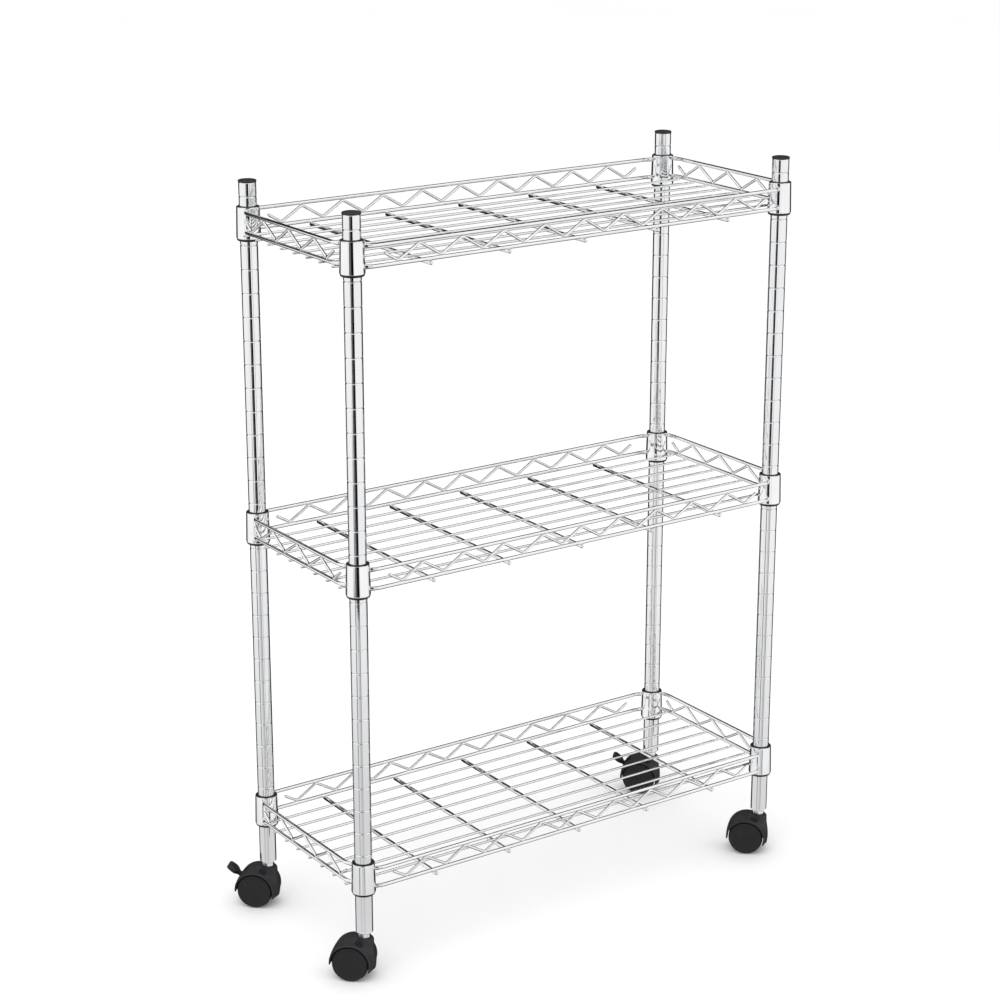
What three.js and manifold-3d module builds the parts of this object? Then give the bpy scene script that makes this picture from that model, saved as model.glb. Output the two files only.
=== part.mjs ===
// Three-tier wire shelving rack on twin-wheel casters.
// Millimetres, +Z up, +X to the right along the long side, -Y towards the front.
// The floor is Z = 0 and the rack is centred on its own bounding box in X and Y.

import * as THREE from 'three'
import { mergeVertices } from 'three/addons/utils/BufferGeometryUtils.js'
import Module from 'manifold-3d'

const wasm = await Module()
wasm.setup()

// ---------------------------------------------------------------- sizes

const POST_SPAN_X = 541 // post axis to post axis, long side
const POST_SPAN_Y = 205.6 // post axis to post axis, short side
const POST_R = 9.25
const POST_BORE_R = 8.35
const POST_BOTTOM = 53
const POST_LENGTH = 765.5
const FOOT_HEIGHT = 22 // threaded foot pressed into the bottom of each post
const FOOT_BORE_R = 4.3

const GROOVE_PITCH = 25.4 // one height step of the shelves
const GROOVE_DEPTH = 0.5
const TOP_GROOVE = 778.6 // the groove that the top shelf is locked to
const SHELF_STEPS = { top: 0, middle: 13, bottom: 26 } // grooves below the top one
const COLLAR_TOP_ABOVE_GROOVE = 14.8

const CAP_R = 9.7
const CAP_HEIGHT = 2
const CAP_PLUG_R = 7.9
const CAP_PLUG_LENGTH = 12

const COLLAR_HEIGHT = 33
const COLLAR_R_TOP = 12.1
const COLLAR_R_BOTTOM = 12.9
const COLLAR_WALL = 1.2
const SLEEVE_R_IN = 9.55
const SLEEVE_LIP_R = 12.5
const SLEEVE_LIP_HEIGHT = 3.6
const SLEEVE_RISE = 0.9 // how far the sleeve shows above the collar

const RAIL_OFFSET = 11.5 // rail centre line outside the post axis
const RAIL_R = 2
const RAIL_END = 8.6 // where a rail ends on the collar, along the rail
const RAIL_BEND = 17 // where it starts to bend towards the collar
const TRUSS_R = 1.5
const TRUSS_PITCH = 50
const DECK_WIRE_R = 1.35
const DECK_WIRE_PITCH = 25.2
const DECK_WIRES = 8
const CROSS_WIRE_R = 2.2
const CROSS_WIRE_PITCH = 94
const CROSS_WIRES = 5
const WIRE_NUB = 4.2 // how far deck wires run past the rail centre lines

// heights below the top of the collar
const FRONT_RAILS = { upper: -6, lower: -26.4 }
const SIDE_RAILS = { upper: -3.8, lower: -24.2 }
const CROSS_WIRE_Z = -30.6
const DECK_WIRE_Z = -27.6

const WHEEL_R = 20
const WHEEL_FACE = 17 // outer face of a wheel from the caster's middle plane
const WHEEL_INNER = 6.4
const TRAIL = 13 // wheel axis behind the swivel axis
const AXLE_R = 2
const AXLE_HALF_LENGTH = 15
const WHEEL_BORE_R = 2.14
const HOOD_R_IN = 21
const HOOD_R_OUT = 22.5
const HOOD_HALF_WIDTH = 17.2
const HOOD_WEB_HALF = 5.8
const HOOD_TOP = 46.7
const STEM_R = 4
const STEM_BOTTOM = 25.5
const STEM_TOP = 72
const SOCKET_R = 4.2
const NUT_R = 6.9
const NUT_BOTTOM = 47
const NUT_TOP = 52.7
const CASTER_HEADING = 135 // degrees from +X to the trailing side

const PEDAL_PIVOT = [26.5, 30.5] // along the trail, and height
const PEDAL_PIN_R = 1.6
const PEDAL_SLOT_HALF = 3.7
const PEDAL_ARM_HALF = 3.3
const PEDAL_HALF_WIDTH = 7.5

const ROUND = 16 // sides on posts, collars and sleeves
const WHEEL_SIDES = 20
const FINE = 12 // sides on stems, sockets and bores
const WIRE_SIDES = 6
const WIRE_SWELL = 1.07 // keeps a six-sided wire at the round wire's weight

// ---------------------------------------------------------------- materials

const chrome = () => new THREE.MeshStandardMaterial({ color: 0xdadcdf, roughness: 0.12, metalness: 1 })
const darkPlastic = () => new THREE.MeshStandardMaterial({ color: 0x141416, roughness: 0.5, metalness: 0 })
const hoodPlastic = () => new THREE.MeshStandardMaterial({ color: 0x1d1d20, roughness: 0.55, metalness: 0 })
const wheelPlastic = () => new THREE.MeshStandardMaterial({ color: 0x232326, roughness: 0.6, metalness: 0 })
const steel = () => new THREE.MeshStandardMaterial({ color: 0x9a9ca0, roughness: 0.35, metalness: 1 })

// ---------------------------------------------------------------- solids

function solid(geometry) {
  const bare = geometry.clone()
  bare.deleteAttribute('normal')
  bare.deleteAttribute('uv')
  const merged = mergeVertices(bare, 1e-4)
  return new wasm.Manifold(
    new wasm.Mesh({
      numProp: 3,
      vertProperties: new Float32Array(merged.attributes.position.array),
      triVerts: new Uint32Array(merged.index.array),
    }),
  )
}

function geometryOf(body) {
  const mesh = body.getMesh()
  const geometry = new THREE.BufferGeometry()
  geometry.setAttribute('position', new THREE.BufferAttribute(mesh.vertProperties, 3))
  geometry.setIndex(new THREE.BufferAttribute(mesh.triVerts, 1))
  geometry.computeVertexNormals()
  return geometry
}

function join(bodies) {
  return bodies.reduce((all, next) => all.add(next))
}

function box(x0, x1, y0, y1, z0, z1) {
  const geometry = new THREE.BoxGeometry(x1 - x0, y1 - y0, z1 - z0)
  geometry.translate((x0 + x1) / 2, (y0 + y1) / 2, (z0 + z1) / 2)
  return solid(geometry)
}

// A solid of revolution about Z. The profile is [radius, height] pairs, going up the outside.
function turned(profile, sides, closed = true) {
  const points = profile.map(([r, z]) => new THREE.Vector2(r, z))
  if (closed) {
    points.push(points[0].clone())
  }
  const geometry = new THREE.LatheGeometry(points, sides)
  geometry.rotateX(Math.PI / 2)
  return solid(geometry)
}

function rod(radius, z0, z1, sides) {
  return turned([[0, z0], [radius, z0], [radius, z1], [0, z1]], sides, false)
}

// The same rod along Y, through (x, z).
function crossRod(radius, y0, y1, x, z, sides) {
  const geometry = new THREE.CylinderGeometry(radius, radius, y1 - y0, sides)
  geometry.translate(x, (y0 + y1) / 2, z)
  return solid(geometry)
}

// A flat outline of [x, z] pairs, given thickness along Y.
function plate(outline, y0, y1) {
  const shape = new THREE.Shape(outline.map(([x, z]) => new THREE.Vector2(x, z)))
  const geometry = new THREE.ExtrudeGeometry(shape, { depth: y1 - y0, bevelEnabled: false })
  geometry.rotateX(Math.PI / 2)
  geometry.translate(0, y1, 0)
  return solid(geometry)
}

// A wire with mitred bends, along a path that stays in the plane with this normal.
function wire(path, radius, normal) {
  const up = new THREE.Vector3(...normal)
  const points = path.map((p) => new THREE.Vector3(...p))
  const legs = points.slice(1).map((point, i) => point.clone().sub(points[i]).normalize())
  const reach = radius * WIRE_SWELL
  const positions = []
  points.forEach((point, i) => {
    const before = legs[Math.max(i - 1, 0)]
    const after = legs[Math.min(i, legs.length - 1)]
    const along = before.clone().add(after).normalize()
    const side = new THREE.Vector3().crossVectors(up, along)
    const mitre = 1 / along.dot(before)
    for (let k = 0; k < WIRE_SIDES; k++) {
      const turn = ((k + 0.5) / WIRE_SIDES) * 2 * Math.PI
      const corner = point.clone()
      corner.addScaledVector(up, Math.cos(turn) * reach)
      corner.addScaledVector(side, Math.sin(turn) * reach * mitre)
      positions.push(...corner.toArray())
    }
  })
  const index = []
  const last = legs.length * WIRE_SIDES
  for (let ring = 0; ring < last; ring += WIRE_SIDES) {
    for (let k = 0; k < WIRE_SIDES; k++) {
      const a = ring + k
      const b = ring + ((k + 1) % WIRE_SIDES)
      index.push(a, a + WIRE_SIDES, b)
      index.push(b, a + WIRE_SIDES, b + WIRE_SIDES)
    }
  }
  for (let k = 1; k < WIRE_SIDES - 1; k++) {
    index.push(0, k, k + 1)
    index.push(last, last + k + 1, last + k)
  }
  const geometry = new THREE.BufferGeometry()
  geometry.setAttribute('position', new THREE.Float32BufferAttribute(positions, 3))
  geometry.setIndex(index)
  return solid(geometry)
}

// ---------------------------------------------------------------- placing

const rack = new THREE.Group()

function place(parent, name, body, material, position = [0, 0, 0]) {
  const mesh = new THREE.Mesh(geometryOf(body), material)
  mesh.name = name
  mesh.position.set(...position)
  parent.add(mesh)
  return mesh
}

const CORNERS = {
  front_left: [-POST_SPAN_X / 2, -POST_SPAN_Y / 2],
  front_right: [POST_SPAN_X / 2, -POST_SPAN_Y / 2],
  rear_left: [-POST_SPAN_X / 2, POST_SPAN_Y / 2],
  rear_right: [POST_SPAN_X / 2, POST_SPAN_Y / 2],
}
const BRAKED = ['rear_left', 'rear_right']

// ---------------------------------------------------------------- posts and caps

const grooveHeights = Object.values(SHELF_STEPS).map((steps) => TOP_GROOVE - steps * GROOVE_PITCH)

function postBody() {
  const top = POST_BOTTOM + POST_LENGTH
  const foot = POST_BOTTOM + FOOT_HEIGHT
  const profile = [
    [FOOT_BORE_R, POST_BOTTOM],
    [POST_R - 1, POST_BOTTOM],
    [POST_R, POST_BOTTOM + 1.4],
  ]
  for (const height of grooveHeights.toReversed()) {
    profile.push([POST_R, height - 1.2], [POST_R - GROOVE_DEPTH, height], [POST_R, height + 1.2])
  }
  profile.push([POST_R, top], [POST_BORE_R, top], [POST_BORE_R, foot], [FOOT_BORE_R, foot])
  return turned(profile, ROUND)
}

function capBody() {
  const seat = POST_BOTTOM + POST_LENGTH + 0.3
  const top = seat + CAP_HEIGHT
  return turned(
    [
      [0, seat - CAP_PLUG_LENGTH],
      [CAP_PLUG_R, seat - CAP_PLUG_LENGTH],
      [CAP_PLUG_R, seat],
      [CAP_R, seat],
      [CAP_R, top - 1.6],
      [CAP_R - 1.6, top],
      [0, top],
    ],
    ROUND,
    false,
  )
}

for (const [corner, [x, y]] of Object.entries(CORNERS)) {
  place(rack, `post_${corner}`, postBody(), chrome(), [x, y, 0])
  place(rack, `post_cap_${corner}`, capBody(), darkPlastic(), [x, y, 0])
}

// ---------------------------------------------------------------- split sleeves

// Heights are measured from the top of the collar.
function sleeveRing() {
  const bead = -COLLAR_TOP_ABOVE_GROOVE
  const gap = 0.3
  const shoulder = -COLLAR_HEIGHT - gap
  return turned(
    [
      [SLEEVE_R_IN, shoulder - SLEEVE_LIP_HEIGHT],
      [SLEEVE_LIP_R - 0.9, shoulder - SLEEVE_LIP_HEIGHT],
      [SLEEVE_LIP_R, shoulder],
      [COLLAR_R_BOTTOM - COLLAR_WALL - gap, shoulder],
      [COLLAR_R_TOP - COLLAR_WALL - gap, SLEEVE_RISE],
      [SLEEVE_R_IN, SLEEVE_RISE],
      [SLEEVE_R_IN, bead + 1.2],
      [POST_R - 0.2, bead],
      [SLEEVE_R_IN, bead - 1.2],
    ],
    ROUND,
  )
}

const SLEEVE_HALVES = {
  front: box(-20, 20, -20, -0.15, -60, 20),
  rear: box(-20, 20, 0.15, 20, -60, 20),
}

// ---------------------------------------------------------------- shelves

const railX = POST_SPAN_X / 2 + RAIL_OFFSET
const railY = POST_SPAN_Y / 2 + RAIL_OFFSET

// A rail runs along one side and bends in to a collar at each end.
function rail(alongX, side, z) {
  const half = (alongX ? POST_SPAN_X : POST_SPAN_Y) / 2
  const out = side * (alongX ? railY : railX)
  const collar = side * ((alongX ? POST_SPAN_Y : POST_SPAN_X) / 2 + 8.9)
  const stations = [
    [-half + RAIL_END, collar],
    [-half + RAIL_BEND, out],
    [half - RAIL_BEND, out],
    [half - RAIL_END, collar],
  ]
  return wire(stations.map(([s, t]) => (alongX ? [s, t, z] : [t, s, z])), RAIL_R, [0, 0, 1])
}

// The zigzag between two rails: valleys on the lower one, a free stub at each end.
function truss(alongX, side, rails, valleys, stub) {
  const plane = side * (alongX ? railY : railX)
  const low = rails.lower + 3.2
  const high = rails.upper - 3.2
  const first = (-(valleys - 1) / 2) * TRUSS_PITCH
  const zigzag = []
  for (let i = 0; i < valleys; i++) {
    zigzag.push([first + i * TRUSS_PITCH, low])
    if (i < valleys - 1) {
      zigzag.push([first + (i + 0.5) * TRUSS_PITCH, high])
    }
  }
  zigzag.unshift([first - stub, low + 9])
  zigzag.push([-first + stub, low + 9])
  const path = zigzag.map(([s, z]) => (alongX ? [s, plane, z] : [plane, s, z]))
  return wire(path, TRUSS_R, alongX ? [0, 1, 0] : [1, 0, 0])
}

function collarShell() {
  const bottom = -COLLAR_HEIGHT
  return turned([[0, bottom], [COLLAR_R_BOTTOM, bottom], [COLLAR_R_TOP, 0], [0, 0]], ROUND, false)
}

function collarBore() {
  const taper = (COLLAR_R_BOTTOM - COLLAR_R_TOP) / COLLAR_HEIGHT
  const low = COLLAR_R_BOTTOM - COLLAR_WALL + taper
  const high = COLLAR_R_TOP - COLLAR_WALL - taper
  return turned([[0, -COLLAR_HEIGHT - 1], [low, -COLLAR_HEIGHT - 1], [high, 1], [0, 1]], ROUND, false)
}

// Heights in a shelf are measured from the top of its collars.
function shelfFrame() {
  const pieces = []
  for (const side of [-1, 1]) {
    for (const level of ['upper', 'lower']) {
      pieces.push(rail(true, side, FRONT_RAILS[level]))
      pieces.push(rail(false, side, SIDE_RAILS[level]))
    }
    pieces.push(truss(true, side, FRONT_RAILS, 10, 16))
    pieces.push(truss(false, side, SIDE_RAILS, 4, 13))
  }
  for (const [x, y] of Object.values(CORNERS)) {
    pieces.push(collarShell().translate([x, y, 0]))
  }
  let frame = join(pieces)
  for (const [x, y] of Object.values(CORNERS)) {
    frame = frame.subtract(collarBore().translate([x, y, 0]))
  }
  return frame
}

function shelfDeck() {
  const pieces = []
  const endX = railX + WIRE_NUB
  const endY = railY + WIRE_NUB
  for (let i = 0; i < DECK_WIRES; i++) {
    const y = (i - (DECK_WIRES - 1) / 2) * DECK_WIRE_PITCH
    pieces.push(wire([[-endX, y, DECK_WIRE_Z], [endX, y, DECK_WIRE_Z]], DECK_WIRE_R, [0, 0, 1]))
  }
  for (let i = 0; i < CROSS_WIRES; i++) {
    const x = (i - (CROSS_WIRES - 1) / 2) * CROSS_WIRE_PITCH
    pieces.push(wire([[x, -endY, CROSS_WIRE_Z], [x, endY, CROSS_WIRE_Z]], CROSS_WIRE_R, [0, 0, 1]))
  }
  return join(pieces)
}

for (const [shelf, steps] of Object.entries(SHELF_STEPS)) {
  const collarTop = TOP_GROOVE - steps * GROOVE_PITCH + COLLAR_TOP_ABOVE_GROOVE
  const level = new THREE.Group()
  level.position.z = collarTop
  rack.add(level)
  place(level, `shelf_${shelf}_frame`, shelfFrame(), chrome())
  place(level, `shelf_${shelf}_deck`, shelfDeck(), chrome())
  for (const [corner, [x, y]] of Object.entries(CORNERS)) {
    for (const [half, space] of Object.entries(SLEEVE_HALVES)) {
      const body = sleeveRing().intersect(space)
      place(level, `sleeve_${shelf}_${corner}_${half}`, body, darkPlastic(), [x, y, 0])
    }
  }
}

// ---------------------------------------------------------------- casters

// In a caster's own frame the swivel axis is Z, +X points to the trailing side and the axle
// runs along Y.

function stemBody() {
  const stem = rod(STEM_R, STEM_BOTTOM, STEM_TOP, FINE)
  const nut = rod(NUT_R, NUT_BOTTOM, NUT_TOP, 6)
  return stem.add(nut)
}

function arc(radius, from, to, steps) {
  const points = []
  for (let i = 0; i <= steps; i++) {
    const turn = THREE.MathUtils.degToRad(from + ((to - from) * i) / steps)
    points.push([TRAIL + radius * Math.cos(turn), WHEEL_R + radius * Math.sin(turn)])
  }
  return points
}

function hoodBody(braked) {
  const cover = plate(
    [...arc(HOOD_R_OUT, -2, 198, 14), ...arc(HOOD_R_IN, 202, -5, 14)],
    -HOOD_HALF_WIDTH,
    HOOD_HALF_WIDTH,
  )
  const web = plate(
    [
      [-7, HOOD_TOP],
      [-9, 42],
      [-7.6, 22],
      [2, 21.5],
      [9, 14],
      [17, 14],
      [22, 24],
      [31.5, 26.5],
      [31.2, 32.5],
      [26, 38.5],
      [13, 42.4],
      [7, HOOD_TOP],
    ],
    -HOOD_WEB_HALF,
    HOOD_WEB_HALF,
  )
  const shoulder = plate(
    [
      [-7, HOOD_TOP],
      [-9.2, 42],
      [-9, 26],
      [-7.4, 26],
      [-4, 36.5],
      [7, 41.5],
      [13, 41.6],
      [13, 42.4],
      [7, HOOD_TOP],
    ],
    -10,
    10,
  )
  let hood = join([cover, web, shoulder])
  hood = hood.subtract(rod(SOCKET_R, STEM_BOTTOM - 0.5, HOOD_TOP + 5, FINE))
  hood = hood.subtract(crossRod(AXLE_R + 0.05, -8, 8, TRAIL, WHEEL_R, FINE))
  if (braked) {
    const opening = [[20.5, 24], [40, 22], [40, 44], [29, 44], [20.5, 36]]
    const slot = plate(opening, -PEDAL_SLOT_HALF, PEDAL_SLOT_HALF)
    hood = hood.subtract(slot)
    hood = hood.subtract(crossRod(PEDAL_PIN_R + 0.1, -8, 8, ...PEDAL_PIVOT, FINE))
  }
  return hood
}

// Height here is measured along the axle, from the caster's middle plane. The flats of the
// tread are at the true wheel radius, so that a wheel stands on one of them.
function wheelBody() {
  const tread = WHEEL_R / Math.cos(Math.PI / WHEEL_SIDES)
  return turned(
    [
      [0, AXLE_HALF_LENGTH + 0.3],
      [WHEEL_BORE_R, AXLE_HALF_LENGTH + 0.3],
      [WHEEL_BORE_R, WHEEL_INNER],
      [5, WHEEL_INNER],
      [5, 14.6],
      [17.4, 14.6],
      [17.4, WHEEL_INNER],
      [tread, WHEEL_INNER],
      [tread, WHEEL_FACE - 0.9],
      [tread - 0.9, WHEEL_FACE],
      [0, WHEEL_FACE],
    ],
    WHEEL_SIDES,
    false,
  )
}

function pedalBody() {
  const [px, pz] = PEDAL_PIVOT
  const arm = plate(
    [
      [px - 3.6, pz - 2.2],
      [px + 2, pz - 3],
      [px + 12, pz + 3.4],
      [px + 12, pz + 6.6],
      [px + 1, pz + 3],
      [px - 2.6, pz + 2.2],
    ],
    -PEDAL_ARM_HALF,
    PEDAL_ARM_HALF,
  )
  const tread = plate(
    [
      [px + 9.5, pz + 2.6],
      [px + 17, pz + 6.6],
      [px + 22.5, pz + 10.2],
      [px + 21.5, pz + 12.4],
      [px + 15.5, pz + 9.6],
      [px + 9.5, pz + 6.2],
    ],
    -PEDAL_HALF_WIDTH,
    PEDAL_HALF_WIDTH,
  )
  const pin = crossRod(PEDAL_PIN_R, -HOOD_WEB_HALF + 0.3, HOOD_WEB_HALF - 0.3, px, pz, FINE)
  return join([arm, tread, pin])
}

for (const [corner, [x, y]] of Object.entries(CORNERS)) {
  place(rack, `caster_stem_${corner}`, stemBody(), steel(), [x, y, 0])
  const caster = new THREE.Group()
  caster.position.set(x, y, 0)
  caster.rotation.z = THREE.MathUtils.degToRad(CASTER_HEADING)
  rack.add(caster)
  place(caster, `caster_hood_${corner}`, hoodBody(BRAKED.includes(corner)), hoodPlastic())
  const axle = crossRod(AXLE_R, -AXLE_HALF_LENGTH, AXLE_HALF_LENGTH, TRAIL, WHEEL_R, FINE)
  place(caster, `caster_axle_${corner}`, axle, steel())
  for (const [side, turn] of Object.entries({ near: 1, far: -1 })) {
    const wheel = place(caster, `caster_wheel_${corner}_${side}`, wheelBody(), wheelPlastic())
    wheel.position.set(TRAIL, 0, WHEEL_R)
    wheel.rotation.set((-turn * Math.PI) / 2, 0, Math.PI / WHEEL_SIDES)
  }
  if (BRAKED.includes(corner)) {
    place(caster, `brake_pedal_${corner}`, pedalBody(), darkPlastic())
  }
}

// ---------------------------------------------------------------- centring

rack.updateMatrixWorld(true)
const bounds = new THREE.Box3().setFromObject(rack, true)
const middle = bounds.getCenter(new THREE.Vector3())
rack.position.set(-middle.x, -middle.y, -bounds.min.z)

export default rack
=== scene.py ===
"""Wire shelving rack on casters: the fine surfaces, finishes, studio and camera.

The rack's sizes are in millimetres, as on a drawing, and become metres where an object is made.
"""

import math

import bmesh
import bpy
from mathutils import Matrix, Vector


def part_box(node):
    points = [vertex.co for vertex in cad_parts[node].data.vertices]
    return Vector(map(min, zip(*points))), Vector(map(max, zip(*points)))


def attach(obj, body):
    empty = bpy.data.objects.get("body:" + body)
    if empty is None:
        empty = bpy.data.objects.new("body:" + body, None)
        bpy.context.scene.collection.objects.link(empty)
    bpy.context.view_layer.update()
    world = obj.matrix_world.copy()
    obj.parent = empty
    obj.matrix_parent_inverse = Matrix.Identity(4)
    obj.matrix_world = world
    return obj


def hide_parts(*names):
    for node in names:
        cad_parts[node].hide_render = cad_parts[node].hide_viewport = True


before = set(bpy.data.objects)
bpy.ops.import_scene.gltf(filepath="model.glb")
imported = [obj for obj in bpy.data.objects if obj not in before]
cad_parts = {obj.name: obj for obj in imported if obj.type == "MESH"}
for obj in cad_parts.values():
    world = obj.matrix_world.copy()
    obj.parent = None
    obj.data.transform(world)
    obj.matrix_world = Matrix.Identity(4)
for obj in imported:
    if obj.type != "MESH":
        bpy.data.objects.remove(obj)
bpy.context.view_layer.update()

MM = 0.001
CORNERS = ("front_left", "front_right", "rear_left", "rear_right")
SHELVES = ("top", "middle", "bottom")

# ------------------------------------------------------------------ sizes

POST_R = 9.25
POST_BORE_R = 8.35
POST_BOTTOM = 53.0
POST_LENGTH = 765.5
FOOT_HEIGHT = 22.0
FOOT_BORE_R = 4.3
GROOVE_PITCH = 25.4
GROOVE_DEPTH = 0.5
GROOVES = 28
TOP_GROOVE = 804.0

CAP_R = 9.7
CAP_PLUG_R = 7.9
CAP_PLUG_DEPTH = 11.6
CAP_BOTTOM = 818.8
CAP_TOP = 820.8
CAP_ROOM = 14.0

COLLAR_HEIGHT = 33.0
COLLAR_R_TOP = 12.1
COLLAR_R_BOTTOM = 12.9
COLLAR_WALL = 1.2
SLEEVE_R_IN = 9.55
SLEEVE_LIP_R = 12.3
SLEEVE_SEAM = 0.3
SLEEVE_TOP = 0.9

RAIL_OFFSET = 11.5
RAIL_R = 2.0
RAIL_END = 8.6
RAIL_END_OUT = 8.9
RAIL_BEND = 17.0
RAIL_BEND_R = 16.0
RAIL_PINCH = 0.42
RAIL_PINCH_LENGTH = 8.0
TRUSS_R = 1.5
TRUSS_PITCH = 50.0
TRUSS_CLEAR = 2.7
TRUSS_BEND_R = 4.0
TRUSS_STUB_RISE = 9.5
# valleys in a zigzag, and how far its ends reach past the outer ones
FRONT_TRUSS = (10, 16.0)
SIDE_TRUSS = (4, 13.0)
DECK_WIRE_R = 1.35
DECK_WIRE_PITCH = 25.2
DECK_WIRES = 8
CROSS_WIRE_R = 2.2
CROSS_WIRE_PITCH = 94.0
CROSS_WIRES = 5
DECK_WIRE_NUB = 2.7
CROSS_WIRE_NUB = 3.2
# heights from a collar's top down: upper and lower rail, then the deck's two layers
FRONT_RAILS = (-6.0, -26.4)
SIDE_RAILS = (-3.8, -24.2)
CROSS_WIRE_Z = -30.6
DECK_WIRE_Z = -27.6

WHEEL_R = 20.0
WHEEL_FACE = 17.0
WHEEL_INNER = 6.4
WHEEL_WEB = 14.6
WHEEL_HUB_R = 5.0
WHEEL_CUP_R = 17.4
TRAIL = 13.0
AXLE_R = 2.0
AXLE_HALF_LENGTH = 15.0
HOOD_R_IN = 21.0
HOOD_R_OUT = 22.6
HOOD_HALF_WIDTH = 17.2
HOOD_TOP = 46.7
HOOD_CROWN = 0.9
HOOD_EDGE = 1.6
HOOD_EDGE_DROP = 0.6
BOSS_R = 10.0
BOSS_ROUND = 3.6
BOSS_BLEND = 7.0
SCOOP = (3.4, 9.6, 45.5)
SCOOP_SIZE = (4.8, 4.6, 8.5)
SCOOP_BLEND = 1.4
WEB_HALF = 5.8
STEM_R = 4.0
STEM_BOTTOM = 25.5
STEM_TOP = 72.0
SOCKET_R = 4.25
NUT_R = 6.9
NUT_BOTTOM = 47.0
NUT_TOP = 52.7
NUT_TURN = 20.0
CASTER_HEADING = 135.0
PEDAL_PIVOT = (26.5, 30.5)
PEDAL_PIN_R = 1.6
PEDAL_PIN_HALF_LENGTH = 5.5
PEDAL_SLOT_HALF = 3.7
BRAKED = ("rear_left", "rear_right")


def middle(node):
    """The middle of a CAD node's box, in millimetres."""
    low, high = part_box(node)
    return (low + high) / 2 / MM


POST = {corner: middle(f"post_{corner}") for corner in CORNERS}
COLLAR_TOP = {shelf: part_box(f"shelf_{shelf}_frame")[1].z / MM for shelf in SHELVES}
CENTRE_X = (POST["front_left"].x + POST["front_right"].x) / 2
CENTRE_Y = (POST["front_left"].y + POST["rear_left"].y) / 2
HALF_X = (POST["front_right"].x - POST["front_left"].x) / 2
HALF_Y = (POST["rear_left"].y - POST["front_left"].y) / 2

# ------------------------------------------------------------------ shapes


class Shape:
    """Vertices and faces in millimetres, collected before they become a mesh."""

    def __init__(self):
        self.verts = []
        self.faces = []

    def add(self, verts, faces):
        start = len(self.verts)
        self.verts.extend(Vector(v) for v in verts)
        self.faces.extend([start + i for i in face] for face in faces)
        return self

    def join(self, other, place=None):
        place = place or Matrix.Identity(4)
        return self.add([place @ v for v in other.verts], other.faces)


def lathe(profile, sides, arc=(0.0, 360.0)):
    """A turned body about Z. The profile starts and ends on the axis, or is a closed ring."""
    full = abs(arc[1] - arc[0]) >= 360.0
    steps = sides if full else sides + 1
    verts = []
    rings = []
    for radius, height in profile:
        if radius < 1e-6:
            rings.append([len(verts)])
            verts.append((0.0, 0.0, height))
            continue
        ring = []
        for i in range(steps):
            turn = math.radians(arc[0] + (arc[1] - arc[0]) * i / sides)
            ring.append(len(verts))
            verts.append((radius * math.cos(turn), radius * math.sin(turn), height))
        rings.append(ring)
    on_axis = len(rings[0]) == 1 and len(rings[-1]) == 1
    pairs = list(zip(rings, rings[1:]))
    if not on_axis:
        pairs.append((rings[-1], rings[0]))
    faces = []
    for low, high in pairs:
        for i in range(sides):
            j = (i + 1) % steps
            if len(low) == 1 and len(high) > 1:
                faces.append([low[0], high[j], high[i]])
            elif len(high) == 1 and len(low) > 1:
                faces.append([low[i], low[j], high[0]])
            elif len(low) > 1:
                faces.append([low[i], low[j], high[j], high[i]])
    if not full:
        faces.append([ring[0] for ring in reversed(rings)])
        faces.append([ring[-1] for ring in rings])
    return Shape().add(verts, faces)


def sweep(path, radius, up, sides=12, flat=0.0, flat_length=0.0):
    """A round wire along a flat path, with rounded ends. flat pinches each end into a paddle."""
    points = [Vector(p) for p in path]
    length = [0.0]
    for a, b in zip(points, points[1:]):
        length.append(length[-1] + (b - a).length)
    stations = [(s, p) for s, p in zip(length, points)]
    for distance in (0.12 * radius, 0.4 * radius, 0.8 * radius):
        stations.append((distance, points[0].lerp(points[1], distance / length[1])))
        back = distance / (length[-1] - length[-2])
        stations.append((length[-1] - distance, points[-1].lerp(points[-2], back)))
    stations.sort(key=lambda s: s[0])
    up = Vector(up).normalized()
    verts = []
    rings = []
    total = length[-1]
    for i, (s, point) in enumerate(stations):
        before = stations[max(i - 1, 0)][1]
        after = stations[min(i + 1, len(stations) - 1)][1]
        along = (after - before).normalized()
        side = along.cross(up).normalized()
        end = min(s, total - s)
        tip = min(1.0, 0.55 + 0.45 * math.sqrt(max(end, 0.0) / (0.8 * radius)))
        pinch = flat * max(0.0, 1.0 - end / flat_length) if flat_length else 0.0
        ring = []
        for k in range(sides):
            turn = 2 * math.pi * k / sides
            across = side * math.cos(turn) * (1.0 - pinch)
            rise = up * math.sin(turn) * (1.0 + 0.6 * pinch)
            ring.append(len(verts))
            verts.append(point + (across + rise) * radius * tip)
        rings.append(ring)
    faces = [list(reversed(rings[0])), list(rings[-1])]
    for low, high in zip(rings, rings[1:]):
        for k in range(sides):
            m = (k + 1) % sides
            faces.append([low[k], low[m], high[m], high[k]])
    return Shape().add(verts, faces)


def fillet(points, radius, steps=4):
    """The same path with each inner corner rounded."""
    points = [Vector(p) for p in points]
    path = [points[0]]
    for before, corner, after in zip(points, points[1:], points[2:]):
        a = (before - corner).normalized()
        b = (after - corner).normalized()
        half = a.angle(b) / 2
        room = 0.4 * min((before - corner).length, (after - corner).length)
        reach = min(radius / math.tan(half), room)
        bend = reach * math.tan(half)
        centre = corner + (a + b).normalized() * bend / math.sin(half)
        start = corner + a * reach - centre
        end = corner + b * reach - centre
        for i in range(steps + 1):
            path.append(centre + start.slerp(end, i / steps).normalized() * bend)
    path.append(points[-1])
    return path


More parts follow.
